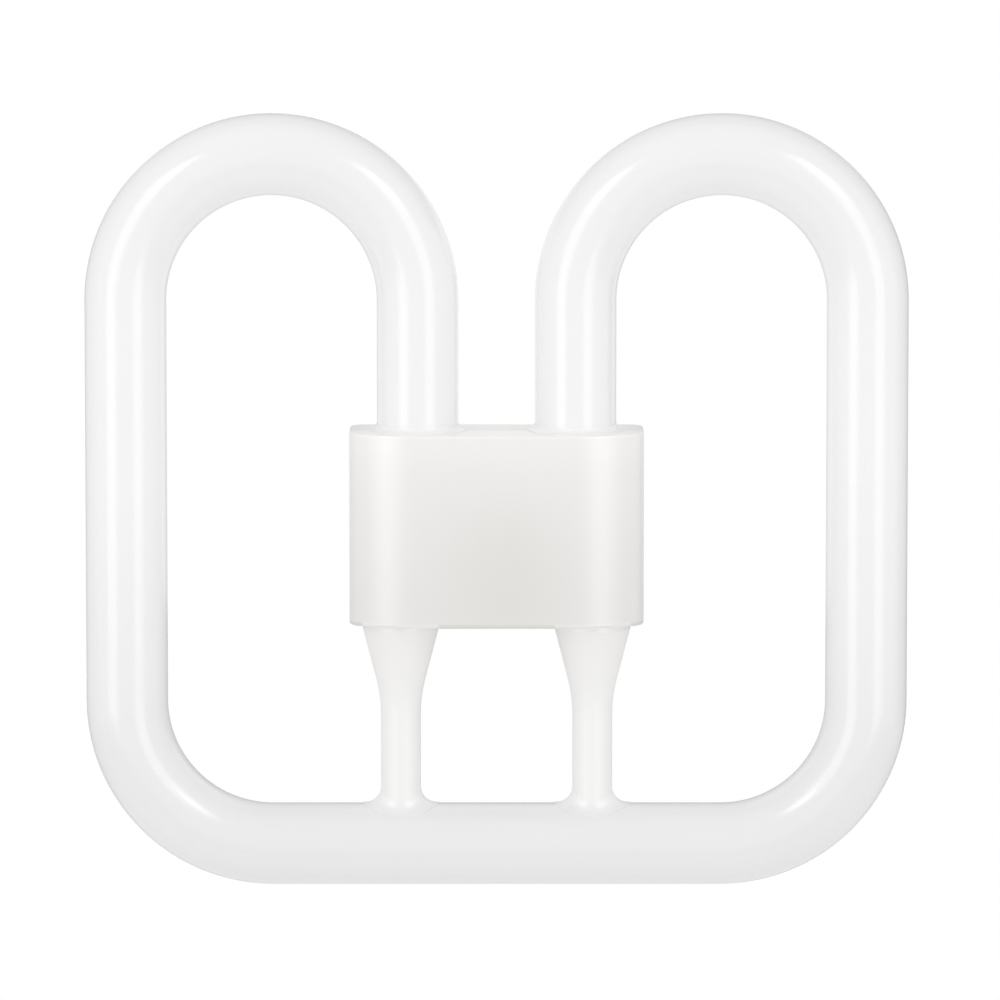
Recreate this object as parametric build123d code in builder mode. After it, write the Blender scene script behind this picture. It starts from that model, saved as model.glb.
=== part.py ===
import os
from math import cos, radians, sin

from build123d import *

os.makedirs("parts", exist_ok=True)

# Butterfly LED lamp, in millimetres, upright as it is seen from the front.
# +Z is up, the front faces -Y and the contact pins point along +Y.
# The origin is the centre of the pin circle, on the seating face of the cap.

# Diffuser tube
overall_width = 141.0
overall_height = 133.0
tube_diameter = 14.0
tube_wall = 1.2
tube_pitch = 27.0
corner_radius = 25.0
limb_drop = 55.0
tube_clearance = 0.1

# Seal bead round each tube end
seal_width = 1.2
seal_height = 1.1
seal_lip = 0.15

# Housing block, parted on the plane of the tube
housing_height = 33.2
housing_end = 4.7
housing_wall = 1.8
tube_room = 0.45
top_edge_radius = 0.4
bottom_edge_radius = 0.6
front_corner_radius = 18.0
side_corner_radius = 3.5
corner_turn = 38
rear_corner_radius = 2.5
shelf_thickness = 1.5
shelf_hole_diameter = 9.0
seam_width = 0.3
seam_depth = 0.25
lip_thickness = 0.8
lip_height = 1.0
lip_clearance = 0.1

# Cap and contact pins
cap_width = 27.0
cap_length = 20.0
cap_height = 5.0
cap_wall = 2.0
cap_face = 2.2
cap_corner_radius = 3.0
cap_edge_radius = 0.8
latch_length = 8.0
latch_height = 2.0
latch_depth = 1.0
latch_setback = 1.6
pin_circle = 10.0
pin_count = 4
pin_diameter = 2.4
pin_length = 6.8
pin_tip_radius = 0.7
pin_shank_diameter = 1.8
pin_sleeve_wall = 1.2
pin_tail_diameter = 1.0
pin_tail_reach = 0.8

# Support legs
leg_inset = 8.75
leg_head_diameter = 13.0
leg_head_height = 11.8
leg_shank_diameter = 6.85
leg_blend_radius = 24.0
leg_neck_diameter = 9.0
leg_neck_clearance = 0.1
leg_flange_overhang = 1.0
leg_flange_thickness = 1.5
collar_height = 1.0
foot_radius = 2.8
foot_lip = 0.15
foot_margin = 0.3

# LED strip and its packages
strip_clearance = 0.05
strip_thickness = 0.4
package_width = 3.5
package_length = 2.8
package_height = 0.7
package_pitch = 10.0
package_seat = 0.05

# Leads from the driver board to the ends of the strip
lead_diameter = 1.0
lead_bend_radius = 1.6
lead_overlap = 3.0
lead_drop = 2.5

# Driver board and the parts soldered on it
board_thickness = 1.2
board_gap = 3.2
board_edge = 1.2
board_margin = 0.6
board_clearance = 0.4
board_foot_gap = 2.4
board_corner_radius = 1.0
board_hole_clearance = 0.1
part_gap = 0.6
post_diameter = 3.0
post_inset = 3.0
smoothing_diameter = 8.0
smoothing_height = 9.0
smoothing_edge_radius = 0.6
crimp_height = 1.2
crimp_width = 0.7
crimp_depth = 0.35
choke_diameter = 8.0
choke_height = 8.0
choke_flange = 1.2
choke_winding_depth = 0.6
film_width = 7.0
film_depth = 3.4
film_height = 7.5
film_edge_radius = 0.5
resistor_diameter = 2.4
resistor_length = 6.4
resistor_edge_radius = 0.4
resistor_lead_diameter = 0.6
resistor_lead_span = 9.8
resistor_height = 2.0
rectifier_length = 4.8
rectifier_width = 3.9
rectifier_height = 2.4
rectifier_terminal_pitch = 2.5
chip_length = 4.9
chip_width = 3.9
chip_height = 1.5
chip_terminal_pitch = 1.27
terminal_width = 0.5
terminal_reach = 0.9
terminal_thickness = 0.25
package_chamfer = 0.3

# Planes and places that the pieces share
tube_radius = tube_diameter / 2
tube_bore = tube_radius - tube_wall
tube_x = tube_pitch / 2
outer_x = overall_width / 2 - tube_radius
arch_radius = (outer_x - tube_x) / 2
limb_z = -limb_drop
arch_z = limb_z + overall_height - tube_diameter - arch_radius
corner_z = limb_z + corner_radius
housing_width = tube_pitch + tube_diameter + 2 * housing_end
housing_depth = tube_diameter + 2 * (tube_room + housing_wall)
housing_top = housing_height / 2
housing_bottom = -housing_height / 2
inner_width = housing_width - 2 * housing_wall
inner_height = housing_height - 2 * housing_wall
inner_back_y = -(cap_height + housing_wall)
back_y = -cap_height
front_y = back_y - housing_depth
lamp_y = (back_y + front_y) / 2
lamp_plane = Plane.XZ.offset(-lamp_y)
pin_angle = 180 / pin_count
pin_row_z = pin_circle / 2 * cos(radians(pin_angle))
board_top_z = pin_row_z + board_edge
tube_end_z = board_top_z + board_clearance + shelf_thickness
leg_x = housing_width / 2 - leg_inset
leg_flange_z = housing_bottom + housing_wall
collar_z = housing_bottom - collar_height
tube_places = [(-tube_x, lamp_y), (tube_x, lamp_y)]
leg_places = [(-leg_x, lamp_y), (leg_x, lamp_y)]

# Diffuser tube: one opal tube bent into two loops, with both ends in the housing
with BuildPart() as diffuser_tube:
    with BuildLine(lamp_plane) as tube_line:
        rise = Line((tube_x, tube_end_z), (tube_x, arch_z))
        arch = JernArc(rise @ 1, rise % 1, arch_radius, -180)
        fall = Line(arch @ 1, (outer_x, corner_z))
        corner = JernArc(fall @ 1, fall % 1, corner_radius, -90)
        limb = Line(corner @ 1, (0, limb_z))
        mirror(about=Plane.YZ)
    with BuildSketch(Plane.XY.offset(tube_end_z)):
        with Locations((tube_x, lamp_y)):
            Circle(tube_radius)
            Circle(tube_bore, mode=Mode.SUBTRACT)
    sweep(path=tube_line.wire())
diffuser_tube.part.label = "diffuser_tube"
export_step(diffuser_tube.part, "parts/diffuser_tube.step")

# LED strip: a flexible board on edge, as wide as the bore that it is drawn into
with BuildPart() as led_strip:
    with BuildSketch(Plane.XY.offset(tube_end_z)):
        with Locations((tube_x, lamp_y)):
            Rectangle(strip_thickness, 2 * (tube_bore - strip_clearance))
    sweep(path=tube_line.wire())
led_strip.part.label = "led_strip"
export_step(led_strip.part, "parts/led_strip.step")

# LED packages: spaced along both faces of the strip, each seated on its curve
strip_line = tube_line.wire()
package_run = strip_line.length - 2 * (lead_overlap + package_length)
package_count = int(package_run / package_pitch) + 1
first_package = (strip_line.length - (package_count - 1) * package_pitch) / 2
package_places = [
    strip_line.location_at(
        first_package + step * package_pitch, PositionMode.LENGTH, x_dir=(0, 1, 0)
    )
    for step in range(package_count)
]
package_offset = strip_thickness / 2 + package_height / 2 - package_seat
with BuildPart() as led_packages:
    with Locations(*package_places):
        with Locations((0, -package_offset, 0), (0, package_offset, 0)):
            Box(package_width, package_height, package_length)
    add(led_strip.part, mode=Mode.SUBTRACT)
led_packages.part.label = "led_packages"
export_step(led_packages.part, "parts/led_packages.step")

# Tube seals: silicone drawn into a hollow bead round each tube end, on top of the housing
for side, x in (("left", -tube_x), ("right", tube_x)):
    with BuildPart() as tube_seal:
        with BuildSketch(Plane(origin=(x, lamp_y, housing_top), x_dir=(1, 0, 0), z_dir=(0, -1, 0))):
            with BuildLine():
                bead = Polyline(
                    (tube_radius + seal_lip, seal_height),
                    (tube_radius, seal_height),
                    (tube_radius, 0),
                    (tube_radius + seal_width, 0),
                    (tube_radius + seal_width, seal_lip),
                )
                TangentArc(bead @ 1, bead @ 0, tangent=(-1, 0, 0))
            make_face()
        revolve(axis=Axis((x, lamp_y, 0), (0, 0, 1)))
    tube_seal.part.label = f"tube_seal_{side}"
    export_step(tube_seal.part, f"parts/tube_seal_{side}.step")

# Plan of the housing and of its cavity: the front corners bend softly, then tightly into the sides
turn_share = sin(radians(corner_turn))
corner_run = side_corner_radius + (front_corner_radius - side_corner_radius) * turn_share
with BuildSketch() as housing_plan:
    with BuildLine():
        front = Line((0, front_y), (housing_width / 2 - corner_run, front_y))
        front_bend = JernArc(front @ 1, front % 1, front_corner_radius, corner_turn)
        side_bend = JernArc(front_bend @ 1, front_bend % 1, side_corner_radius, 90 - corner_turn)
        flank = Line(side_bend @ 1, (housing_width / 2, back_y - rear_corner_radius))
        rear_bend = JernArc(flank @ 1, flank % 1, rear_corner_radius, 90)
        Line(rear_bend @ 1, (0, back_y))
        mirror(about=Plane.YZ)
    make_face()
with BuildSketch() as cavity_plan:
    offset(housing_plan.sketch, amount=-housing_wall)

# Hollow block that both housing halves are cut from: seam groove, collars and tube shelf
with BuildPart() as housing_block:
    with BuildSketch(Plane.XY.offset(housing_bottom)):
        add(housing_plan.sketch)
    extrude(amount=housing_height)
    fillet(housing_block.edges().group_by(Axis.Z)[-1], top_edge_radius)
    fillet(housing_block.edges().group_by(Axis.Z)[0], bottom_edge_radius)
    with BuildSketch(lamp_plane):
        Rectangle(housing_width, housing_height)
        Rectangle(
            housing_width - 2 * seam_depth, housing_height - 2 * seam_depth, mode=Mode.SUBTRACT
        )
    extrude(amount=seam_width / 2, both=True, mode=Mode.SUBTRACT)
    with BuildSketch(Plane.XY.offset(housing_bottom + housing_wall / 2)):
        with Locations(*leg_places):
            Circle(leg_head_diameter / 2)
    extrude(amount=-(housing_wall / 2 + collar_height))
    with BuildSketch(Plane.XY.offset(housing_bottom + housing_wall)):
        add(cavity_plan.sketch)
    extrude(amount=inner_height, mode=Mode.SUBTRACT)
    with BuildSketch(Plane.XY.offset(tube_end_z)):
        add(cavity_plan.sketch)
        with Locations(*tube_places):
            Circle(shelf_hole_diameter / 2, mode=Mode.SUBTRACT)
    extrude(amount=-shelf_thickness)

# Bores that the tube ends and the leg necks pass through, shared by both halves
with BuildPart() as socket_bores:
    with BuildSketch(Plane.XY.offset(housing_top)):
        with Locations(*tube_places):
            Circle(tube_radius + tube_clearance)
    extrude(amount=-housing_wall)
    with BuildSketch(Plane.XY.offset(leg_flange_z)):
        with Locations(*leg_places):
            Circle(leg_neck_diameter / 2 + leg_neck_clearance)
    extrude(amount=-(housing_wall + collar_height))

# Front half of the housing, with a rabbet along the seam for the lip of the rear half
with BuildPart() as housing_front:
    add(housing_block.part)
    split(bisect_by=lamp_plane, keep=Keep.TOP)
    with BuildSketch(lamp_plane):
        rabbet = 2 * (lip_thickness + lip_clearance)
        Rectangle(inner_width + rabbet, inner_height + rabbet)
        Rectangle(inner_width - rabbet, inner_height - rabbet, mode=Mode.SUBTRACT)
    extrude(amount=lip_height + lip_clearance, mode=Mode.SUBTRACT)
    add(socket_bores.part, mode=Mode.SUBTRACT)
housing_front.part.label = "housing_front"
export_step(housing_front.part, "parts/housing_front.step")

# Where the driver board stands, and where its parts sit on its front face
board_bottom_z = leg_flange_z + leg_flange_thickness + board_foot_gap
board_height = board_top_z - board_bottom_z
board_z = (board_top_z + board_bottom_z) / 2
round_width = max(smoothing_diameter, choke_diameter)
flat_width = max(rectifier_length, chip_length)
round_x = film_width / 2 + part_gap + round_width / 2
flat_x = round_x + round_width / 2 + part_gap + flat_width / 2
board_width = 2 * (flat_x + flat_width / 2 + board_margin)
parts_z = board_bottom_z + board_margin
board_back_y = inner_back_y - board_gap
board_front_y = board_back_y - board_thickness
board_face = Plane.XZ.offset(-board_front_y)

# Rear half of the housing, with the seam lip, the cap, the pin sleeves and the board posts
with BuildPart() as housing_rear:
    add(housing_block.part)
    split(bisect_by=lamp_plane, keep=Keep.BOTTOM)
    with BuildSketch(lamp_plane):
        Rectangle(inner_width + 2 * lip_thickness, inner_height + 2 * lip_thickness)
        Rectangle(inner_width, inner_height, mode=Mode.SUBTRACT)
    extrude(amount=lip_height)
    add(socket_bores.part, mode=Mode.SUBTRACT)
    with BuildSketch(Plane.XZ):
        RectangleRounded(cap_width, cap_length, cap_corner_radius)
    extrude(amount=cap_height + housing_wall / 2)
    fillet(housing_rear.faces().sort_by(Axis.Y)[-1].edges(), cap_edge_radius)
    with BuildSketch(Plane.XZ.offset(cap_face)):
        Rectangle(cap_width - 2 * cap_wall, cap_length - 2 * cap_wall)
    extrude(amount=cap_height + housing_wall - cap_face, mode=Mode.SUBTRACT)
    with BuildSketch(Plane.XZ.offset(latch_setback)):
        with Locations((-cap_width / 2, 0), (cap_width / 2, 0)):
            Rectangle(2 * latch_depth, latch_length)
    extrude(amount=latch_height, mode=Mode.SUBTRACT)
    with BuildSketch(Plane.XZ.offset(cap_face)):
        with PolarLocations(pin_circle / 2, pin_count, start_angle=pin_angle):
            Circle(pin_shank_diameter / 2 + pin_sleeve_wall)
    extrude(amount=cap_height + housing_wall - cap_face)
    with BuildSketch(Plane.XZ):
        with PolarLocations(pin_circle / 2, pin_count, start_angle=pin_angle):
            Circle(pin_shank_diameter / 2)
    extrude(amount=cap_height + housing_wall, mode=Mode.SUBTRACT)
    with BuildSketch(Plane.XZ.offset(-board_back_y)):
        with Locations((0, board_z)):
            with GridLocations(board_width - 2 * post_inset, board_height - 2 * post_inset, 2, 2):
                Circle(post_diameter / 2)
    extrude(amount=-(board_gap + housing_wall / 2))
housing_rear.part.label = "housing_rear"
export_step(housing_rear.part, "parts/housing_rear.step")

# Contact pins: turned, shouldered on the cap's face, with tails soldered in the board
pin_places = PolarLocations(pin_circle / 2, pin_count, start_angle=pin_angle).local_locations
for number, place in enumerate(pin_places, start=1):
    with BuildPart() as contact_pin:
        with BuildSketch(Plane.XZ.offset(-pin_length)):
            with Locations(place.position):
                Circle(pin_diameter / 2)
        extrude(amount=pin_length)
        fillet(contact_pin.faces().sort_by(Axis.Y)[-1].edges(), pin_tip_radius)
        with BuildSketch(Plane.XZ):
            with Locations(place.position):
                Circle(pin_shank_diameter / 2)
        extrude(amount=cap_height + housing_wall)
        with BuildSketch(Plane.XZ.offset(-inner_back_y)):
            with Locations(place.position):
                Circle(pin_tail_diameter / 2)
        extrude(amount=board_gap + board_thickness + pin_tail_reach)
    contact_pin.part.label = f"contact_pin_{number}"
    export_step(contact_pin.part, f"parts/contact_pin_{number}.step")

# Support legs: moulded, trapped between the housing halves, with a saddle on the tube
shank_radius = leg_shank_diameter / 2
neck_radius = leg_neck_diameter / 2
flange_radius = neck_radius + leg_flange_overhang
saddle_radius = tube_radius + foot_lip
foot_run = shank_radius + foot_radius
foot_depth = foot_run * saddle_radius / (saddle_radius + foot_radius)
for side, x in (("left", -leg_x), ("right", leg_x)):
    limb_section = Plane(origin=(x, lamp_y, limb_z), x_dir=(0, 1, 0), z_dir=(1, 0, 0))
    with BuildPart() as support_leg:
        with BuildSketch(Plane(origin=(x, lamp_y, 0), x_dir=(1, 0, 0), z_dir=(0, -1, 0))) as outline:
            with BuildLine():
                Polyline(
                    (0, limb_z),
                    (shank_radius, limb_z),
                    (shank_radius, collar_z - leg_head_height),
                    (leg_head_diameter / 2, collar_z),
                    (neck_radius, collar_z),
                    (neck_radius, leg_flange_z),
                    (flange_radius, leg_flange_z),
                    (flange_radius, leg_flange_z + leg_flange_thickness),
                    (0, leg_flange_z + leg_flange_thickness),
                    close=True,
                )
            make_face()
            waist = Vector(shank_radius, collar_z - leg_head_height)
            fillet(outline.vertices().sort_by_distance(waist)[0], leg_blend_radius)
        revolve(axis=Axis((x, lamp_y, 0), (0, 0, 1)))
        with BuildSketch(limb_section):
            Circle(saddle_radius)
        extrude(amount=2 * foot_run, both=True)
        fillet(support_leg.edges().filter_by(GeomType.BSPLINE), foot_radius)
        with BuildSketch(Plane.XY.offset(limb_z)):
            with Locations((x, lamp_y)):
                Rectangle(5 * foot_run, 2 * tube_diameter)
                Ellipse(foot_run + foot_margin, foot_depth + foot_margin, mode=Mode.SUBTRACT)
        extrude(amount=tube_diameter, mode=Mode.SUBTRACT)
        with BuildSketch(Plane.XY.offset(limb_z)):
            with Locations((x, lamp_y)):
                Rectangle(5 * foot_run, 2 * tube_diameter)
        extrude(amount=-tube_diameter, mode=Mode.SUBTRACT)
        with BuildSketch(limb_section):
            Circle(tube_radius)
        extrude(amount=2 * foot_run, both=True, mode=Mode.SUBTRACT)
    support_leg.part.label = f"support_leg_{side}"
    export_step(support_leg.part, f"parts/support_leg_{side}.step")

# Driver board: upright on the posts of the rear half, with the pin tails through it
with BuildPart() as driver_board:
    with BuildSketch(Plane.XZ.offset(-board_back_y)):
        with Locations((0, board_z)):
            RectangleRounded(board_width, board_height, board_corner_radius)
        with PolarLocations(pin_circle / 2, pin_count, start_angle=pin_angle):
            Circle(pin_tail_diameter / 2 + board_hole_clearance, mode=Mode.SUBTRACT)
    extrude(amount=board_thickness)
driver_board.part.label = "driver_board"
export_step(driver_board.part, "parts/driver_board.step")

# Smoothing capacitor: a round can with a crimp near its foot
with BuildPart() as smoothing_capacitor:
    with BuildSketch(board_face):
        with Locations((round_x, parts_z + smoothing_diameter / 2)):
            Circle(smoothing_diameter / 2)
    extrude(amount=smoothing_height)
    fillet(smoothing_capacitor.faces().sort_by(Axis.Y)[0].edges(), smoothing_edge_radius)
    with BuildSketch(board_face.offset(crimp_height)):
        with Locations((round_x, parts_z + smoothing_diameter / 2)):
            Circle(smoothing_diameter)
            Circle(smoothing_diameter / 2 - crimp_depth, mode=Mode.SUBTRACT)
    extrude(amount=crimp_width, mode=Mode.SUBTRACT)
smoothing_capacitor.part.label = "smoothing_capacitor"
export_step(smoothing_capacitor.part, "parts/smoothing_capacitor.step")

# Choke: a drum core with its winding between two flanges
with BuildPart() as choke:
    with BuildSketch(board_face):
        with Locations((-round_x, parts_z + choke_diameter / 2)):
            Circle(choke_diameter / 2)
    extrude(amount=choke_height)
    with BuildSketch(board_face.offset(choke_flange)):
        with Locations((-round_x, parts_z + choke_diameter / 2)):
            Circle(choke_diameter)
            Circle(choke_diameter / 2 - choke_winding_depth, mode=Mode.SUBTRACT)
    extrude(amount=choke_height - 2 * choke_flange, mode=Mode.SUBTRACT)
choke.part.label = "choke"
export_step(choke.part, "parts/choke.step")

# Input capacitor: a moulded box between the two round parts
with BuildPart() as input_capacitor:
    with BuildSketch(board_face):
        with Locations((0, parts_z + film_depth / 2)):
            Rectangle(film_width, film_depth)
    extrude(amount=film_height)
    fillet(input_capacitor.faces().sort_by(Axis.Y)[0].edges(), film_edge_radius)
input_capacitor.part.label = "input_capacitor"
export_step(input_capacitor.part, "parts/input_capacitor.step")

# Fusible resistor: a round body on two bent leads, between the pin tails
with BuildPart() as fusible_resistor:
    with BuildLine(Plane.XY) as resistor_lead:
        FilletPolyline(
            (-resistor_lead_span / 2, board_front_y),
            (-resistor_lead_span / 2, board_front_y - resistor_height),
            (resistor_lead_span / 2, board_front_y - resistor_height),
            (resistor_lead_span / 2, board_front_y),
            radius=resistor_lead_diameter,
        )
    with BuildSketch(board_face):
        with Locations((-resistor_lead_span / 2, 0)):
            Circle(resistor_lead_diameter / 2)
    sweep(path=resistor_lead.wire())
    with BuildSketch(Plane.YZ):
        with Locations((board_front_y - resistor_height, 0)):
            Circle(resistor_diameter / 2)
    extrude(amount=resistor_length / 2, both=True)
    rims = fusible_resistor.edges().filter_by(GeomType.CIRCLE).group_by(SortBy.RADIUS)[-1]
    fillet(rims, resistor_edge_radius)
fusible_resistor.part.label = "fusible_resistor"
export_step(fusible_resistor.part, "parts/fusible_resistor.step")

# Rectifier: a moulded package with two flat terminals on each long side
with BuildPart() as rectifier:
    with BuildSketch(board_face):
        with Locations((flat_x, parts_z + terminal_reach + rectifier_width / 2)):
            Rectangle(rectifier_length, rectifier_width)
    extrude(amount=rectifier_height)
    chamfer(rectifier.faces().sort_by(Axis.Y)[0].edges(), package_chamfer)
    with BuildSketch(board_face):
        with Locations((flat_x, parts_z + terminal_reach + rectifier_width / 2)):
            with GridLocations(rectifier_terminal_pitch, 0, 2, 1):
                Rectangle(terminal_width, rectifier_width + 2 * terminal_reach)
    extrude(amount=terminal_thickness)
rectifier.part.label = "rectifier"
export_step(rectifier.part, "parts/rectifier.step")

# Driver chip: a moulded package with four flat terminals on each long side
with BuildPart() as driver_chip:
    with BuildSketch(board_face):
        with Locations((-flat_x, parts_z + terminal_reach + chip_width / 2)):
            Rectangle(chip_length, chip_width)
    extrude(amount=chip_height)
    chamfer(driver_chip.faces().sort_by(Axis.Y)[0].edges(), package_chamfer)
    with BuildSketch(board_face):
        with Locations((-flat_x, parts_z + terminal_reach + chip_width / 2)):
            with GridLocations(chip_terminal_pitch, 0, 4, 1):
                Rectangle(terminal_width, chip_width + 2 * terminal_reach)
    extrude(amount=terminal_thickness)
driver_chip.part.label = "driver_chip"
export_step(driver_chip.part, "parts/driver_chip.step")

# Strip leads: a pair at each tube end, one on each face of the strip, down to the board
lead_offset = strip_thickness / 2 + lead_diameter / 2
lead_top_z = tube_end_z + lead_overlap
lead_z = board_top_z - lead_drop
for side, x in (("left", -tube_x), ("right", tube_x)):
    with BuildPart() as strip_leads:
        for lead_x in (x - lead_offset, x + lead_offset):
            with BuildLine(Plane.YZ.offset(lead_x)) as lead_line:
                FilletPolyline(
                    (lamp_y, lead_top_z),
                    (lamp_y, lead_z),
                    (board_front_y, lead_z),
                    radius=lead_bend_radius,
                )
            with BuildSketch(Plane.XY.offset(lead_top_z)):
                with Locations((lead_x, lamp_y)):
                    Circle(lead_diameter / 2)
            sweep(path=lead_line.wire())
    strip_leads.part.label = f"strip_leads_{side}"
    export_step(strip_leads.part, f"parts/strip_leads_{side}.step")
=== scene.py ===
import math

import bpy
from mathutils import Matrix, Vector


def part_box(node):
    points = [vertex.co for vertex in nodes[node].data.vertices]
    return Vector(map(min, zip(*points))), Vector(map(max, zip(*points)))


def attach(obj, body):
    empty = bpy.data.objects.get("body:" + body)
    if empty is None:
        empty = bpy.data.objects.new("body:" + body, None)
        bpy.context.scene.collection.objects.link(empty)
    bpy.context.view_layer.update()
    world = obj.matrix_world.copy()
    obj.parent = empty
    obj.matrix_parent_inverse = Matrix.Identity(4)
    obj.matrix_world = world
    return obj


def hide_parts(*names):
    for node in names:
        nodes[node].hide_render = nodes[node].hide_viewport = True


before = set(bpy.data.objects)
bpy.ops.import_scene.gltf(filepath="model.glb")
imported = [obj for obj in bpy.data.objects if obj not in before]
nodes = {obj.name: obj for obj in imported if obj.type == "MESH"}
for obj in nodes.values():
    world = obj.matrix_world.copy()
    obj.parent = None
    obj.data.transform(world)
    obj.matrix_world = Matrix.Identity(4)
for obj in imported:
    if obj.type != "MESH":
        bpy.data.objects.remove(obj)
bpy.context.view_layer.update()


# Housing: two moulded shells of warm white polycarbonate, clipped together on the plane of the tube.
# The rear one is a shade greyer and carries the cap for the lampholder. Both are satin, off a lightly
# textured tool, and the front has painted shade where the driver stands close behind it.
collar_height = 0.001
collar_radius = 0.0065
seam_blur = 0.0002
housing_low, housing_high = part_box("housing_front")
tube_low, tube_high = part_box("diffuser_tube")
leg_low, leg_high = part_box("support_leg_right")
lamp_y = (tube_high.y + tube_low.y) / 2
leg_x = (leg_low.x + leg_high.x) / 2
housing_bottom = housing_low.z + collar_height
low_shaded_white = (0.79, 0.783, 0.768, 1)
high_lit_white = (0.885, 0.874, 0.86, 1)
painted_top_light_white = (0.95, 0.932, 0.915, 1)
rear_white = (0.76, 0.748, 0.728, 1)
painted_edge_shade_grey = (0.70, 0.69, 0.67, 1)
collar_painted_light_white = (0.93, 0.922, 0.905, 1)
driver_shadow_grey = (0.735, 0.722, 0.685, 1)


class Value:
    """A shader socket that takes part in plain arithmetic."""

    def __init__(self, shading, socket):
        self.shading = shading
        self.socket = socket

    def _math(self, operation, first, second=0.0):
        return self.shading.node("ShaderNodeMath", {"operation": operation}, {0: first, 1: second})

    def __add__(self, other):
        return self._math("ADD", self, other)

    def __radd__(self, other):
        return self._math("ADD", other, self)

    def __sub__(self, other):
        return self._math("SUBTRACT", self, other)

    def __rsub__(self, other):
        return self._math("SUBTRACT", other, self)

    def __mul__(self, other):
        return self._math("MULTIPLY", self, other)

    def __rmul__(self, other):
        return self._math("MULTIPLY", other, self)

    def __abs__(self):
        return self._math("ABSOLUTE", self)


class Shading:
    """A node tree that is written one node at a time."""

    def __init__(self, tree):
        self.tree = tree

    def node(self, kind, settings=None, sockets=None, output=0):
        """Adds a node, with its settings first, and gives one of its outputs or a tuple of them."""
        made = self.tree.nodes.new(kind)
        for name, value in (settings or {}).items():
            setattr(made, name, value)
        for name, value in (sockets or {}).items():
            if isinstance(value, Value):
                self.tree.links.new(value.socket, made.inputs[name])
            else:
                made.inputs[name].default_value = value
        if isinstance(output, tuple):
            return tuple(Value(self, made.outputs[name]) for name in output)
        return Value(self, made.outputs[output])

    def ramp(self, value, start, end):
        """0 before start and 1 after end, smooth between them."""
        return self.node(
            "ShaderNodeMapRange",
            {"interpolation_type": "SMOOTHSTEP"},
            {"Value": value, "From Min": start, "From Max": end},
        )

    def hill(self, value, start, top_start, top_end, end):
        """0 outside start and end and 1 between the two tops, smooth on both slopes."""
        return self.ramp(value, start, top_start) * (1 - self.ramp(value, top_end, end))

    def within(self, value, centre, reach, blur=0.0001):
        """1 up to a reach either side of a centre and 0 beyond it."""
        return 1 - self.ramp(abs(value - centre), reach - blur, reach + blur)

    def split(self, vector):
        return self.node("ShaderNodeSeparateXYZ", sockets={"Vector": vector}, output=("X", "Y", "Z"))

    def ray_kinds(self):
        """Whether a ray comes from the camera, from gloss or through glass."""
        return self.node(
            "ShaderNodeLightPath", output=("Is Camera Ray", "Is Glossy Ray", "Is Transmission Ray")
        )


class Finish(Shading):
    """A procedural material: one surface shader and the nodes that vary it over a piece."""

    def __init__(self, name, constants):
        self.material = bpy.data.materials.new(name)
        self.material.use_nodes = True
        super().__init__(self.material.node_tree)
        self.shader = self.tree.nodes["Principled BSDF"]
        for socket, value in constants.items():
            self.shader.inputs[socket].default_value = value
        self.place = self.node("ShaderNodeTexCoord", output="Object")
        self.x, self.y, self.z = self.split(self.place)

    def mix(self, factor, first, second):
        """A blend of two colours, by the sockets that a Mix node keeps for colours."""
        return self.node(
            "ShaderNodeMix", {"data_type": "RGBA"}, {0: factor, 6: first, 7: second}, output=2
        )

    def noise(self, scale, detail=2.0):
        return self.node(
            "ShaderNodeTexNoise", sockets={"Vector": self.place, "Scale": scale, "Detail": detail}
        )

    def ripple(self, value, pitch):
        """A wave between 0 and 1 that repeats at a pitch."""
        return 0.5 + 0.5 * self.node(
            "ShaderNodeMath", {"operation": "SINE"}, {0: value * (math.tau / pitch)}
        )

    def bump(self, height, strength, distance):
        return self.node(
            "ShaderNodeBump",
            sockets={"Height": height, "Strength": strength, "Distance": distance},
        )

    def feed(self, sockets):
        for name, value in sockets.items():
            self.tree.links.new(value.socket, self.shader.inputs[name])

    def cover(self, *pieces):
        for piece in pieces:
            if not piece.material_slots:
                piece.data.materials.append(self.material)
            for slot in piece.material_slots:
                slot.material = self.material


satin = Finish("satin_moulded_white", {"IOR": 1.68})
satin_mottle = satin.noise(75.0, detail=4.0)
# Painted shade: the housing's colour is darker towards its bottom and lighter towards its top.
painted_height_shade = satin.ramp(satin.z, -0.018, 0.019)
satin_white = satin.mix(0.8 * painted_height_shade + 0.2 * satin_mottle, low_shaded_white, high_lit_white)
# Painted light: the top of the housing is painted lighter, with a painted highlight along its top edge.
crown = satin.ramp(satin.z, 0.009, housing_high.z)
painted_brim_highlight = satin.ramp(satin.z, housing_high.z - 0.0008, housing_high.z - 0.0001)
satin_painted_top_light = satin.mix(0.45 * crown + 0.4 * painted_brim_highlight, satin_white, painted_top_light_white)
rear_shell = satin.ramp(satin.y, lamp_y, lamp_y + seam_blur)
satin_shell = satin.mix(0.4 * rear_shell, satin_painted_top_light, rear_white)
over_leg = satin.within(abs(satin.x), leg_x, collar_radius, blur=0.0004)
# Painted shade: a dark line along the bottom edge of the housing, left out over the legs.
bottom_edge = 1 - satin.ramp(satin.z, housing_bottom + 0.0006, housing_bottom + 0.0009)
satin_painted_edge_shade = satin.mix(0.8 * bottom_edge * (1 - over_leg), satin_shell, painted_edge_shade_grey)
# Painted light: the bottom edge and collar over each leg are painted paler, against the shade under the
# housing.
collar_side = 1 - satin.ramp(satin.z, housing_bottom - 0.0001, housing_bottom + 0.0001)
collar_painted_light_share = bottom_edge * over_leg * (0.4 + 0.5 * collar_side)
satin_painted_collar_light = satin.mix(collar_painted_light_share, satin_painted_edge_shade, collar_painted_light_white)
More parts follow.
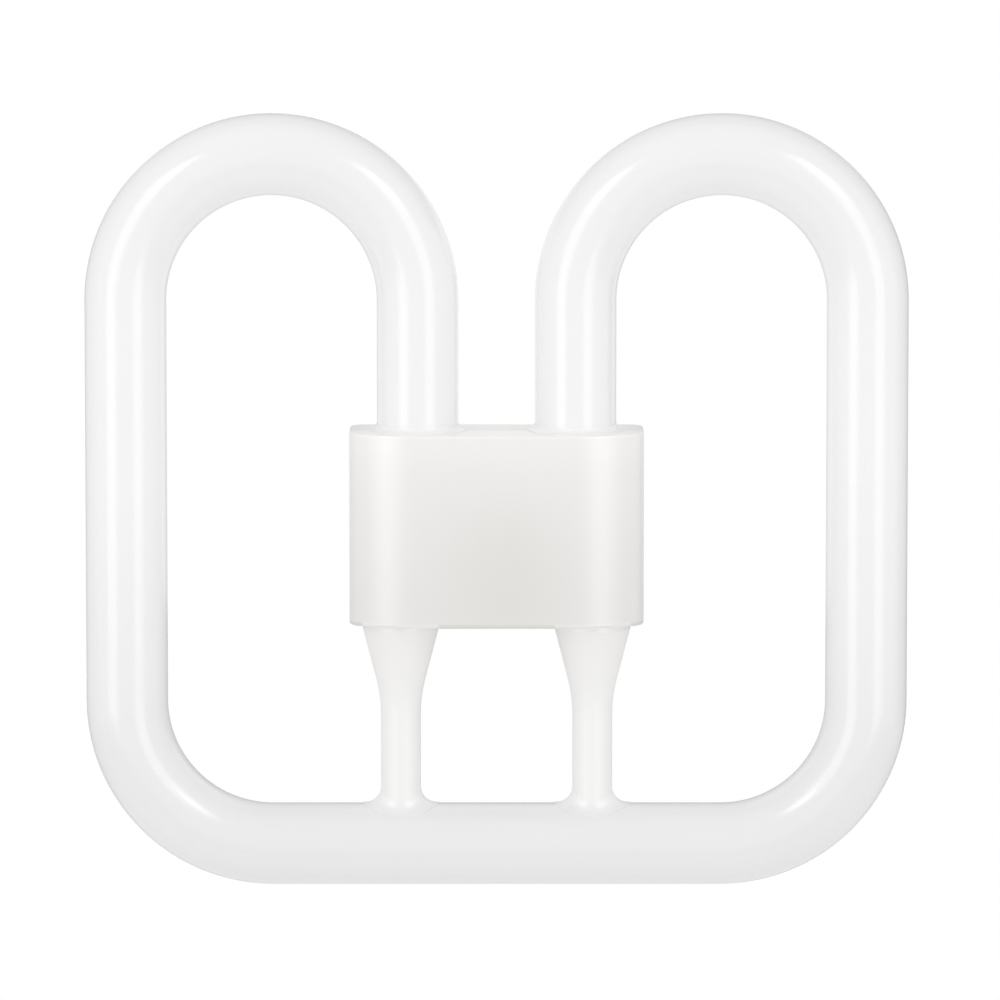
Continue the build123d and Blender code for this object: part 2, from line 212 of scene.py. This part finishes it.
# Painted shade: the front is painted darker where the driver stands behind its wall.
front_side = 1 - satin.ramp(satin.y, housing_low.y, housing_low.y + 0.005)
driver_x = satin.hill(satin.x, -0.017, 0.002, 0.002, 0.018)
driver_z = satin.hill(satin.z, -0.028, -0.010, -0.008, 0.012)
painted_driver_shadow = front_side * driver_x * driver_z * (0.55 + 0.9 * satin_mottle)
satin.feed(
    {
        "Base Color": satin.mix(0.65 * painted_driver_shadow, satin_painted_collar_light, driver_shadow_grey),
        "Roughness": 0.285 + 0.09 * satin.noise(220.0),
        "Normal": satin.bump(satin.noise(900.0), 0.03, 0.0001),
    }
)
satin.cover(nodes["housing_front"], nodes["housing_rear"])


# Contact pins: turned brass, plated with nickel, pressed through the cap and soldered in the board.
# Fine tool rings run round them.
tool_ring_pitch = 0.00014
pin_low, pin_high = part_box("contact_pin_1")
pin_offset = abs((pin_low.x + pin_high.x) / 2)
plated = Finish("plated_pin_metal", {"Metallic": 1.0})
plated_wear = plated.noise(900.0, detail=3.0)
plated.feed(
    {
        "Base Color": plated.mix(plated_wear, (0.70, 0.665, 0.60, 1), (0.83, 0.80, 0.74, 1)),
        "Roughness": 0.14 + 0.12 * plated_wear,
        "Normal": plated.bump(plated.ripple(plated.y, tool_ring_pitch), 0.12, 0.00002),
    }
)
plated.cover(*(nodes[f"contact_pin_{number}"] for number in (1, 2, 3, 4)))


# Driver board: glass-fibre laminate under green solder resist, on four posts of the rear shell.
# Copper tracks show through the resist, and rings of solder hold the pin tails.
solder_radius = 0.0011
cut_margin = 0.0002
board_low, board_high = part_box("driver_board")
board_middle_z = (board_low.z + board_high.z) / 2
resist = Finish("green_board_resist", {"IOR": 1.5})
resist_gap = resist.node(
    "ShaderNodeTexVoronoi",
    {"feature": "DISTANCE_TO_EDGE"},
    {"Vector": resist.place, "Scale": 260.0},
)
track = 1 - resist.ramp(resist_gap, 0.06, 0.10)
pad_x = abs(resist.x) - pin_offset
pad_z = abs(resist.z) - pin_offset
pad = 1 - resist.ramp(pad_x * pad_x + pad_z * pad_z, (solder_radius - 0.0001) ** 2, solder_radius**2)
cut_edge = 1 - resist.within(resist.x, 0.0, board_high.x - cut_margin) * resist.within(
    resist.z, board_middle_z, board_high.z - board_middle_z - cut_margin
)
resist_green = resist.mix(track, (0.028, 0.17, 0.075, 1), (0.07, 0.27, 0.12, 1))
resist_cut = resist.mix(cut_edge, resist_green, (0.45, 0.43, 0.27, 1))
resist.feed(
    {
        "Base Color": resist.mix(pad, resist_cut, (0.66, 0.66, 0.64, 1)),
        "Metallic": 0.9 * pad,
        "Roughness": 0.3 + 0.15 * resist.noise(500.0),
        "Normal": resist.bump(track + pad, 0.3, 0.00004),
    }
)
resist.cover(nodes["driver_board"])


# Input capacitor: wound metallised film in a yellow moulded box, soldered to the board by two leads.
# The open side of the box, next to the board, is closed with paler cast resin.
film_back_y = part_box("input_capacitor")[1].y
film_box = Finish("yellow_film_box", {"IOR": 1.5})
film_resin = film_box.ramp(film_box.y, film_back_y - 0.0009, film_back_y - 0.0006)
film_yellow = film_box.mix(film_box.noise(300.0), (0.66, 0.50, 0.13, 1), (0.74, 0.58, 0.18, 1))
film_box.feed(
    {
        "Base Color": film_box.mix(film_resin, film_yellow, (0.78, 0.70, 0.42, 1)),
        "Roughness": 0.32 + 0.14 * film_box.noise(700.0),
        "Normal": film_box.bump(film_box.noise(1500.0), 0.1, 0.00005),
    }
)
film_box.cover(nodes["input_capacitor"])


# Rectifier and driver chip: transfer-moulded black epoxy, matt off the tool and dusty grey with filler.
# Their tinned terminals reach out at both long sides and are soldered flat on the board.
terminal_reach = 0.0009
dimple_radius = 0.0004
for package in ("rectifier", "driver_chip"):
    package_low, package_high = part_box(package)
    package_x = (package_low.x + package_high.x) / 2
    package_z = (package_low.z + package_high.z) / 2
    body_reach = (package_high.z - package_low.z) / 2 - terminal_reach
    epoxy = Finish(f"{package}_epoxy", {"IOR": 1.55})
    terminal = 1 - epoxy.within(epoxy.z, package_z, body_reach, blur=0.00002)
    dimple_x = epoxy.x - (package_x - 0.0015)
    dimple_z = epoxy.z - (package_z - body_reach + 2 * dimple_radius)
    dimple = 1 - epoxy.ramp(
        dimple_x * dimple_x + dimple_z * dimple_z, (0.8 * dimple_radius) ** 2, dimple_radius**2
    )
    epoxy_black = epoxy.mix(epoxy.noise(1800.0), (0.035, 0.035, 0.038, 1), (0.075, 0.075, 0.08, 1))
    epoxy.feed(
        {
            "Base Color": epoxy.mix(terminal, epoxy_black, (0.72, 0.72, 0.70, 1)),
            "Metallic": terminal,
            "Roughness": 0.55 + 0.12 * epoxy.noise(2500.0) - 0.28 * terminal,
            "Normal": epoxy.bump(0.2 * epoxy.noise(3000.0) - dimple, 0.3, 0.00006),
        }
    )
    epoxy.cover(nodes[package])


# Smoothing capacitor: a drawn aluminium can, crimped near its foot over a rubber bung.
# A cross is scored in its top as a vent, and its leads are soldered in the board.
score_width = 0.00012
score_length = 0.0026
can_low, can_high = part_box("smoothing_capacitor")
can_x = (can_low.x + can_high.x) / 2
can_z = (can_low.z + can_high.z) / 2
can = Finish("drawn_aluminium_can", {"Metallic": 1.0})
can_top = 1 - can.ramp(can.y, can_low.y + 0.0001, can_low.y + 0.0002)
score_x = can.within(can.x, can_x, score_width, blur=0.00005) * can.within(can.z, can_z, score_length)
score_z = can.within(can.z, can_z, score_width, blur=0.00005) * can.within(can.x, can_x, score_length)
can_relief = 0.1 * can.ripple(can.y, 0.0003) - can_top * (score_x + score_z)
can_draw = can.noise(420.0, detail=4.0)
can.feed(
    {
        "Base Color": can.mix(can_draw, (0.56, 0.57, 0.59, 1), (0.70, 0.71, 0.73, 1)),
        "Roughness": 0.28 + 0.18 * can_draw,
        "Normal": can.bump(can_relief, 0.3, 0.0001),
    }
)
can.cover(nodes["smoothing_capacitor"])


# Choke: enamelled copper wire wound in even turns on a drum of sintered ferrite.
# Both flanges of the drum stay bare, and the lower one stands on the board.
flange_thickness = 0.0012
turn_pitch = 0.0004
choke_low, choke_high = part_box("choke")
choke_y = (choke_low.y + choke_high.y) / 2
drum = Finish("wound_ferrite_drum", {"IOR": 1.6})
winding_reach = (choke_high.y - choke_low.y) / 2 - flange_thickness
winding = drum.within(drum.y, choke_y, winding_reach, blur=0.00003)
turns = drum.ripple(drum.y, turn_pitch)
ferrite = drum.mix(drum.noise(1600.0), (0.075, 0.07, 0.07, 1), (0.13, 0.125, 0.12, 1))
enamel = drum.mix(turns, (0.36, 0.14, 0.055, 1), (0.62, 0.29, 0.12, 1))
drum.feed(
    {
        "Base Color": drum.mix(winding, ferrite, enamel),
        "Metallic": 0.6 * winding,
        "Roughness": 0.62 - 0.3 * winding + 0.1 * drum.noise(900.0),
        "Normal": drum.bump(winding * turns, 0.5, 0.0001),
    }
)
drum.cover(nodes["choke"])


# Fusible resistor: a ceramic rod with a wound wire under a flameproof coat and four painted bands.
# It lies along the board on tinned leads that are bent down and soldered.
rod_reach = 0.00325
band_reach = 0.00032
rod = Finish("banded_resistor_coat", {"IOR": 1.5})
lead_wire = 1 - rod.within(rod.x, 0.0, rod_reach, blur=0.00004)
rod_coat = rod.mix(rod.noise(1400.0), (0.30, 0.42, 0.37, 1), (0.40, 0.52, 0.47, 1))
for band_x, band_colour in (
    (-0.0022, (0.24, 0.11, 0.05, 1)),
    (-0.0011, (0.04, 0.04, 0.04, 1)),
    (0.0, (0.03, 0.03, 0.035, 1)),
    (0.0019, (0.62, 0.47, 0.16, 1)),
):
    rod_coat = rod.mix(rod.within(rod.x, band_x, band_reach, blur=0.00003), rod_coat, band_colour)
rod.feed(
    {
        "Base Color": rod.mix(lead_wire, rod_coat, (0.74, 0.74, 0.72, 1)),
        "Metallic": lead_wire,
        "Roughness": 0.5 - 0.24 * lead_wire + 0.12 * rod.noise(1100.0),
        "Normal": rod.bump(rod.noise(2000.0), 0.15, 0.00004),
    }
)
rod.cover(nodes["fusible_resistor"])


# LED strip: a flexible board that is drawn into the tube on edge, under white solder resist.
# Two copper tracks run along it and show through as faintly darker bands.
track_offset = 0.0036
track_reach = 0.0009
strip_low, strip_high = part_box("led_strip")
strip_y = (strip_low.y + strip_high.y) / 2
strip_mask = Finish("white_strip_resist", {"IOR": 1.5})
strip_track = strip_mask.within(abs(strip_mask.y - strip_y), track_offset, track_reach)
strip_white = strip_mask.mix(strip_mask.noise(250.0), (0.84, 0.84, 0.81, 1), (0.89, 0.89, 0.865, 1))
strip_mask.feed(
    {
        "Base Color": strip_mask.mix(0.6 * strip_track, strip_white, (0.80, 0.74, 0.64, 1)),
        "Roughness": 0.38 + 0.12 * strip_mask.noise(600.0),
        "Normal": strip_mask.bump(strip_track, 0.2, 0.00003),
    }
)
strip_mask.cover(nodes["led_strip"])


# LED packages: a white moulded frame round a pool of yellow phosphor in clear silicone.
# They are soldered in rows along both faces of the strip.
pool_reach = 0.0012
phosphor = Finish("phosphor_in_white_frame", {"IOR": 1.45})
pool = phosphor.within(phosphor.y, strip_y, pool_reach)
phosphor_yellow = phosphor.mix(phosphor.noise(3500.0), (0.80, 0.62, 0.13, 1), (0.88, 0.74, 0.24, 1))
phosphor.feed(
    {
        "Base Color": phosphor.mix(pool, (0.88, 0.88, 0.86, 1), phosphor_yellow),
        "Roughness": 0.45 - 0.2 * pool + 0.1 * phosphor.noise(1500.0),
        "Normal": phosphor.bump(0.3 * phosphor.noise(3000.0) - pool, 0.3, 0.00005),
    }
)
phosphor.cover(nodes["led_packages"])


# Strip leads: two thin copper wires at each tube end, insulated with extruded white plastic.
# They are stripped and tinned where they are soldered to the strip and to the board.
lead_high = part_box("strip_leads_left")[1]
lead = Finish("extruded_lead_insulation", {"IOR": 1.5})
tinned_top = lead.ramp(lead.z, lead_high.z - 0.0012, lead_high.z - 0.0011)
tinned_back = lead.ramp(lead.y, lead_high.y - 0.0007, lead_high.y - 0.0006)
tinned = 1 - (1 - tinned_top) * (1 - tinned_back)
lead_white = lead.mix(lead.noise(500.0), (0.78, 0.78, 0.755, 1), (0.84, 0.84, 0.82, 1))
lead.feed(
    {
        "Base Color": lead.mix(tinned, lead_white, (0.73, 0.72, 0.70, 1)),
        "Metallic": tinned,
        "Roughness": 0.34 + 0.12 * lead.noise(900.0),
        "Normal": lead.bump(lead.noise(1200.0), 0.1, 0.00005),
    }
)
lead.cover(nodes["strip_leads_left"], nodes["strip_leads_right"])


# Diffuser tube: one opal polycarbonate tube, extruded straight and bent hot into two loops.
# Both ends stand in the top of the housing, and the legs are welded to its bottom limb.
# The skin is glossy, and the white filler under it is faintly cloudy; painted shade makes it a little
# greyer low down and at the tops of the loops.
tube_wall = 0.0012
tube_insertion = 0.010
corner_radius = 0.025
skin_margin = 0.000001
ring_segments = 96
seal_low, seal_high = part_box("tube_seal_right")
tube_radius = (tube_high.y - tube_low.y) / 2
inner_run_x = (seal_low.x + seal_high.x) / 2
outer_run_x = tube_high.x - tube_radius
arch_radius = (outer_run_x - inner_run_x) / 2
arch_x = inner_run_x + arch_radius
arch_z = tube_high.z - tube_radius - arch_radius
limb_z = tube_low.z + tube_radius
corner_z = limb_z + corner_radius
tube_end_z = housing_high.z - tube_insertion


def start_ring(name, radius, segments, centre):
    """Adds a ring of edges, puts its place in its mesh and leaves it selected in edit mode."""
    bpy.ops.object.select_all(action="DESELECT")
    bpy.ops.mesh.primitive_circle_add(vertices=segments, radius=radius, location=centre)
    ring = bpy.context.object
    ring.name = name
    ring.data.name = name
    bpy.ops.object.transform_apply(location=True, rotation=True, scale=True)
    bpy.ops.object.mode_set(mode="EDIT")
    bpy.ops.mesh.select_all(action="SELECT")
    return ring


def extrude(x=0.0, y=0.0, z=0.0):
    bpy.ops.mesh.extrude_region_move(TRANSFORM_OT_translate={"value": (x, y, z)})


def bend(steps, angle, centre):
    """Turns the selected ring about an axis across the lamp and leaves the bend behind it."""
    bpy.ops.mesh.spin(steps=steps, angle=-angle, center=centre, axis=(0, 1, 0))


def apply_modifier(piece, kind, **settings):
    modifier = piece.modifiers.new(kind.title(), kind)
    for name, value in settings.items():
        setattr(modifier, name, value)
    bpy.ops.object.modifier_apply(modifier=modifier.name)


opal_tube = start_ring(
    "opal_tube", tube_radius - skin_margin, ring_segments, (inner_run_x, lamp_y, tube_end_z)
)
extrude(z=arch_z - tube_end_z)
bend(72, math.pi, (arch_x, lamp_y, arch_z))
extrude(z=corner_z - arch_z)
bend(36, math.pi / 2, (outer_run_x - corner_radius, lamp_y, corner_z))
extrude(x=corner_radius - outer_run_x)
bpy.ops.mesh.select_all(action="SELECT")
bpy.ops.mesh.remove_doubles(threshold=1e-6)
bpy.ops.object.mode_set(mode="OBJECT")
apply_modifier(opal_tube, "MIRROR", use_axis=(True, False, False), merge_threshold=1e-5)
bpy.ops.object.mode_set(mode="EDIT")
bpy.ops.mesh.select_all(action="SELECT")
bpy.ops.mesh.normals_make_consistent(inside=False)
bpy.ops.object.mode_set(mode="OBJECT")
apply_modifier(opal_tube, "SOLIDIFY", thickness=tube_wall, offset=-1.0)
bpy.ops.object.shade_smooth_by_angle(angle=math.radians(40))

opal = Finish("glossy_opal", {"IOR": 1.46})
# Painted shade: the tube is painted greyer towards the bottom limb and at the tops of the loops.
opal_painted_shade = opal.ramp(opal.z, -0.065, 0.02) - 0.4 * opal.ramp(opal.z, 0.035, 0.066)
opal_cloud_and_shade = 0.78 * opal_painted_shade + 0.22 * opal.noise(36.0, detail=3.0)
opal.feed(
    {
        "Base Color": opal.mix(opal_cloud_and_shade, (0.845, 0.842, 0.846, 1), (0.955, 0.952, 0.962, 1)),
        "Roughness": 0.13 + 0.08 * opal.noise(160.0),
        "Normal": opal.bump(opal.noise(85.0, detail=1.0), 0.06, 0.0004),
    }
)
opal.cover(opal_tube)
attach(opal_tube, "root")
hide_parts("diffuser_tube")


# Tube seals: a low bead of white silicone, drawn round each tube end on top of the housing.
# It is smoothed by hand while it is wet, so its gloss is uneven.
silicone = Finish("white_silicone_bead", {"IOR": 1.42})
silicone_pour = silicone.noise(120.0)
silicone.feed(
    {
        "Base Color": silicone.mix(silicone_pour, (0.93, 0.925, 0.925, 1), (0.955, 0.95, 0.95, 1)),
        "Roughness": 0.3 + 0.12 * silicone.noise(400.0),
        "Normal": silicone.bump(silicone.noise(420.0), 0.15, 0.0002),
    }
)
silicone.cover(nodes["tube_seal_left"], nodes["tube_seal_right"])


# Support legs: moulded in smooth white plastic, trapped between the housing shells by a flange.
# They are flared at the head, where the white is warmer, and filleted on to the tube at the foot,
# which is painted with the tube's grey shade. The thin edge of the foot is painted darker, as shade over
# a bright line there, and is a little duller.
tube_top_z = limb_z + tube_radius
foot_edge_start = tube_radius + 0.00010
foot_edge_end = tube_radius + 0.00014
leg_white = Finish("smooth_leg_white", {"IOR": 1.6})
leg_drop = 1 - leg_white.ramp(leg_white.z, -0.031, -0.018)
leg_fade = 0.8 * leg_drop + 0.2 * leg_white.noise(90.0)
leg_shade = leg_white.mix(leg_fade, (0.92, 0.905, 0.892, 1), (0.925, 0.924, 0.915, 1))
# Painted shade: the foot fades to the tube's painted grey.
leg_foot = 1 - leg_white.ramp(leg_white.z, tube_top_z - 0.0004, tube_top_z + 0.0012)
foot_painted_grey = leg_white.mix(0.95 * leg_foot, leg_shade, (0.875, 0.872, 0.875, 1))
foot_y = leg_white.y - lamp_y
foot_z = leg_white.z - limb_z
# Painted shade: the thin edge of the foot is painted darker, over a bright line there.
painted_foot_edge_shade = 1 - leg_white.ramp(foot_y * foot_y + foot_z * foot_z, foot_edge_start**2, foot_edge_end**2)
leg_white.feed(
    {
        "Base Color": leg_white.mix(painted_foot_edge_shade, foot_painted_grey, (0.835, 0.832, 0.835, 1)),
        "Roughness": 0.42 + 0.08 * leg_white.noise(240.0) - 0.14 * leg_foot + 0.3 * painted_foot_edge_shade,
        "Normal": leg_white.bump(leg_white.noise(140.0), 0.06, 0.0003),
    }
)
leg_white.cover(nodes["support_leg_left"], nodes["support_leg_right"])


# Studio: a pale floor well below the lamp, white all round, and a tall softbox with a small one over it
# on either side in front. A white card behind the loops, with greyer windows in it, and grey flags round
# the back show only in the gloss, and draw a fine line round the white lamp.
fill_level = 0.942
fill_tilt = (-0.03, -0.13, -0.035)
flag_shade = 0.74
flag_tilt = 0.26
world = bpy.data.worlds.new("studio")
bpy.context.scene.world = world
world.use_nodes = True
surround = Shading(world.node_tree)
camera_ray, glossy_ray, glass_ray = surround.ray_kinds()
ray_x, ray_y, ray_z = surround.split(surround.node("ShaderNodeTexCoord", output="Generated"))
unseen = (1 - camera_ray) * (1 - glossy_ray) * (1 - glass_ray)
fill = fill_level + fill_tilt[0] * ray_x + fill_tilt[1] * ray_y + fill_tilt[2] * ray_z
flags = surround.ramp(ray_y, -0.3, 0.35)
surround_strength = 1 - unseen * (1 - fill) - glossy_ray * flags * (flag_shade + flag_tilt * ray_x)
backdrop = world.node_tree.nodes["Background"]
backdrop.inputs["Color"].default_value = (1.0, 1.0, 1.0, 1.0)
world.node_tree.links.new(surround_strength.socket, backdrop.inputs["Strength"])


def studio_plane(name, size, turn=0.0):
    """Adds a square of the studio at the origin, flat or turned about X."""
    bpy.ops.object.select_all(action="DESELECT")
    bpy.ops.mesh.primitive_plane_add(size=size, location=(0, 0, 0), rotation=(turn, 0, 0))
    plane = bpy.context.object
    plane.name = name
    return plane


def blend_surface(finish, factor, first, second):
    """Puts a blend of two shaders on a finish in place of its one shader."""
    surface = finish.node("ShaderNodeMixShader", sockets={0: factor, 1: first, 2: second})
    finish.tree.links.new(surface.socket, finish.tree.nodes["Material Output"].inputs["Surface"])


floor_drop = 0.30
floor_size = 2.4
floor = studio_plane("studio_floor", floor_size)
floor.location = (0, 0, tube_low.z - floor_drop)
floor_paint = Finish("pale_floor", {"Roughness": 0.8})
floor_paint.feed(
    {"Base Color": floor_paint.mix(floor_paint.noise(4.0), (0.9, 0.9, 0.9, 1), (0.93, 0.93, 0.93, 1))}
)
floor_camera, floor_glossy, floor_glass = floor_paint.ray_kinds()
floor_seen = 1 - (1 - floor_camera) * (1 - floor_glossy) * (1 - floor_glass)
floor_reach = floor_paint.x * floor_paint.x + floor_paint.y * floor_paint.y
floor_fade = floor_paint.ramp(floor_reach, 0.15**2, 1.1**2)
floor_level = 0.6 - 0.45 * floor_camera
floor_flag = floor_glossy * floor_paint.ramp(floor_reach, 0.35**2, 0.7**2)
floor_tone = floor_paint.mix(floor_flag, (1, 1, 1, 1), (0.4, 0.4, 0.4, 1))
blend_surface(
    floor_paint,
    floor_seen * (floor_level + floor_fade - floor_level * floor_fade),
    Value(floor_paint, floor_paint.shader.outputs["BSDF"]),
    floor_paint.node("ShaderNodeEmission", sockets={"Color": floor_tone, "Strength": 1.0}),
)
floor_paint.cover(floor)

card_y = lamp_y + 0.04
card_z = (tube_high.z + tube_low.z) / 2
card_margin = 0.016
card_fade = 0.012
card_reach_x = tube_high.x + card_margin
card_reach_z = (tube_high.z - tube_low.z) / 2 + card_margin
card = studio_plane("white_card", 2, turn=math.pi / 2)
card.scale = (card_reach_x, card_reach_z, 1)
card.location = (0, card_y, card_z)
bpy.ops.object.transform_apply(location=True, rotation=True, scale=True)
card_paint = Finish("white_card_gloss", {})
card_across = card_paint.within(card_paint.x, 0.0, card_reach_x - card_fade, card_fade)
card_upright = card_paint.within(card_paint.z, card_z, card_reach_z - card_fade, card_fade)
leg_window = card_paint.within(card_paint.x, 0.0, 0.056, 0.008) * card_paint.within(
    card_paint.z, -0.037, 0.017, 0.005
)
loop_window = card_paint.within(abs(card_paint.x), arch_x, 0.015, 0.004) * card_paint.within(
    card_paint.z, 0.010, 0.040, 0.008
)
blend_surface(
    card_paint,
    card_across * card_upright * (1 - 0.9 * leg_window) * (1 - 0.55 * loop_window),
    card_paint.node("ShaderNodeBsdfTransparent"),
    card_paint.node("ShaderNodeEmission", sockets={"Strength": 1.0}),
)
card_paint.cover(card)
card.visible_camera = False
card.visible_diffuse = False
card.visible_transmission = False
card.visible_shadow = False


def softbox(name, azimuth, elevation, width, height, power, distance=1.6):
    """A rectangular lamp that faces the middle of the object and shows only in its gloss."""
    light = bpy.data.lights.new(name, "AREA")
    light.shape = "RECTANGLE"
    light.size = width
    light.size_y = height
    light.energy = power
    lamp = bpy.data.objects.new(name, light)
    bpy.context.scene.collection.objects.link(lamp)
    turn = math.radians(azimuth)
    rise = math.radians(elevation)
    away = Vector((math.sin(turn) * math.cos(rise), -math.cos(turn) * math.cos(rise), math.sin(rise)))
    lamp.location = Vector((0, lamp_y, 0)) + away * distance
    lamp.rotation_mode = "QUATERNION"
    lamp.rotation_quaternion = away.to_track_quat("Z", "Y")
    lamp.visible_diffuse = False


softbox("left_strip", -41, 8, 0.74, 1.7, 8.2)
softbox("right_strip", 35, 8, 0.74, 1.7, 7.5)
softbox("left_spot", -36, 31, 0.3, 0.5, 1.6)
softbox("right_spot", 34, 31, 0.3, 0.5, 1.6)


# Camera: nearly level with the lamp, a little above it and square to its front.
# A long lens from well back draws the loops almost without perspective.
camera_rise = math.radians(6.81)
camera_distance = 1.5
camera_aim = Vector((0.000583, lamp_y, 0.004532))
camera_back = Vector((0, -math.cos(camera_rise), math.sin(camera_rise)))
camera_data = bpy.data.cameras.new("camera")
camera_data.sensor_width = 36.0
camera_data.lens = 314.9
camera = bpy.data.objects.new("camera", camera_data)
bpy.context.scene.collection.objects.link(camera)
camera.location = camera_aim + camera_back * camera_distance
camera.rotation_mode = "QUATERNION"
camera.rotation_quaternion = camera_back.to_track_quat("Z", "Y")
bpy.context.scene.camera = camera
bpy.context.scene.view_settings.view_transform = "Standard"
